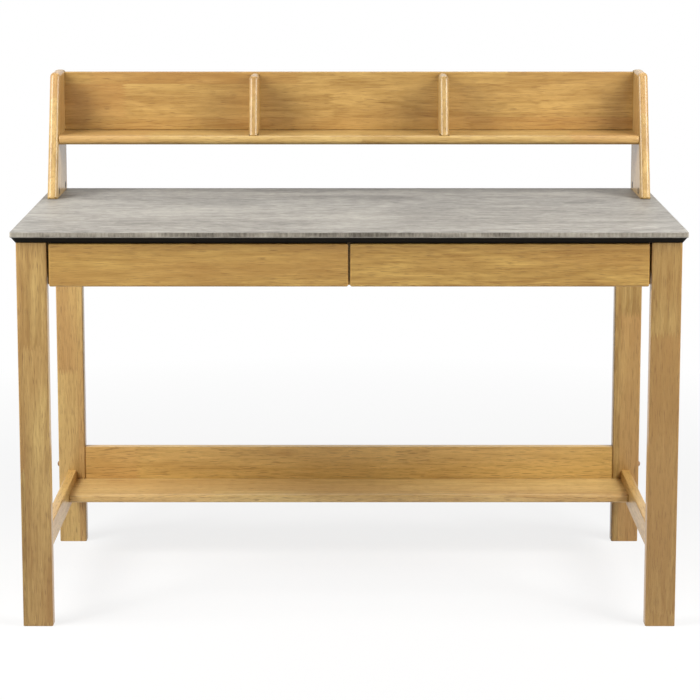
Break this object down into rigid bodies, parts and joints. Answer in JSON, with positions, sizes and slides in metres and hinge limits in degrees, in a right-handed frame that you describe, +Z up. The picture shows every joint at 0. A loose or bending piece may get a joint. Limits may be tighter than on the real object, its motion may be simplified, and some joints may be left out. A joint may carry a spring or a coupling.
{
  "type": "writing desk with shelf",
  "caption": "Wooden writing desk with a stone-look top, shallow sliding drawers, a foot shelf and a low hutch with a shelf and dividers.",
  "frame": {"origin": "on the floor, under the middle of the worktop", "axes": "+X to the right along the front, +Y to the back, +Z up; the drawers open toward -Y"},
  "size_m": [1.219, 0.61, 0.98],
  "materials": {
    "stone_top": "stone-look laminate on board, matt, mottled grey",
    "black_backer": "black compact board, satin, bevelled edge",
    "leg_wood": "satin lacquer over glued-up light hardwood, upright grain",
    "rail_wood": "satin lacquer over light hardwood, grain along the rail",
    "hutch_wood": "satin lacquer over glued-up light hardwood staves",
    "drawer_wood": "satin lacquer over glued-up light hardwood, level grain",
    "box_wood": "thin clear lacquer over plain boards",
    "bottom_board": "plain thin plywood",
    "dowel_wood": "plain turned dowels",
    "slide_steel": "bright zinc plate on rolled steel",
    "cage_steel": "plain thin steel strip",
    "ball_steel": "polished bearing balls",
    "zinc_screw": "zinc-plated screws",
    "zinc_steel": "zinc-plated steel",
    "cam_metal": "dark zinc casting, dull",
    "cap_plastic": "brown moulded cap"
  },
  "bodies": {
    "frame": {"front_leg_left": "leg_wood", "front_leg_right": "leg_wood", "rear_leg_left": "leg_wood", "rear_leg_right": "leg_wood", "side_apron_left": "rail_wood", "side_apron_right": "rail_wood", "rear_apron": "rail_wood", "front_rail": "rail_wood", "centre_partition": "rail_wood", "slide_packer_left": "rail_wood", "slide_packer_right": "rail_wood", "side_stretcher_left": "rail_wood", "side_stretcher_right": "rail_wood", "rear_stretcher": "rail_wood", "foot_shelf": "rail_wood", "hutch_side_left": "hutch_wood", "hutch_side_right": "hutch_wood", "hutch_shelf": "hutch_wood", "hutch_back": "hutch_wood", "hutch_divider_left": "hutch_wood", "hutch_divider_right": "hutch_wood", "worktop_slab": "stone_top", "worktop_backer": "black_backer", "wood_dowels": "dowel_wood", "wood_screws": "zinc_screw", "top_brackets": "zinc_steel", "cam_locks": "cam_metal", "cam_bolts": "zinc_steel", "rail_bolts": "zinc_steel", "barrel_nuts": "zinc_steel", "bolt_caps": "cap_plastic", "drawer_left_slide_left_outer": "slide_steel", "drawer_left_slide_right_outer": "slide_steel", "drawer_right_slide_left_outer": "slide_steel", "drawer_right_slide_right_outer": "slide_steel"},
    "drawer_left": {"drawer_left_front": "drawer_wood", "drawer_left_side_left": "box_wood", "drawer_left_side_right": "box_wood", "drawer_left_back": "box_wood", "drawer_left_bottom": "bottom_board", "drawer_left_slide_left_inner": "slide_steel", "drawer_left_slide_right_inner": "slide_steel", "drawer_left_dowels": "dowel_wood", "drawer_left_screws": "zinc_screw"},
    "drawer_left_cages": {"drawer_left_slide_left_cage": "cage_steel", "drawer_left_slide_right_cage": "cage_steel", "drawer_left_balls": "ball_steel"},
    "drawer_right": {"drawer_right_front": "drawer_wood", "drawer_right_side_left": "box_wood", "drawer_right_side_right": "box_wood", "drawer_right_back": "box_wood", "drawer_right_bottom": "bottom_board", "drawer_right_slide_left_inner": "slide_steel", "drawer_right_slide_right_inner": "slide_steel", "drawer_right_dowels": "dowel_wood", "drawer_right_screws": "zinc_screw"},
    "drawer_right_cages": {"drawer_right_slide_left_cage": "cage_steel", "drawer_right_slide_right_cage": "cage_steel", "drawer_right_balls": "ball_steel"}
  },
  "joints": [
    {"name": "drawer_left_slide", "type": "slide", "parent": "frame", "child": "drawer_left", "axis": [0, -1, 0], "range_m": [0, 0.3]},
    {"name": "drawer_left_cage_roll", "type": "slide", "parent": "frame", "child": "drawer_left_cages", "axis": [0, -1, 0], "range_m": [0, 0.15]},
    {"name": "drawer_right_slide", "type": "slide", "parent": "frame", "child": "drawer_right", "axis": [0, -1, 0], "range_m": [0, 0.3]},
    {"name": "drawer_right_cage_roll", "type": "slide", "parent": "frame", "child": "drawer_right_cages", "axis": [0, -1, 0], "range_m": [0, 0.15]}
  ],
  "couplings": [
    {"joint": "drawer_left_cage_roll", "follows": "drawer_left_slide", "ratio": 0.5},
    {"joint": "drawer_right_cage_roll", "follows": "drawer_right_slide", "ratio": 0.5}
  ]
}
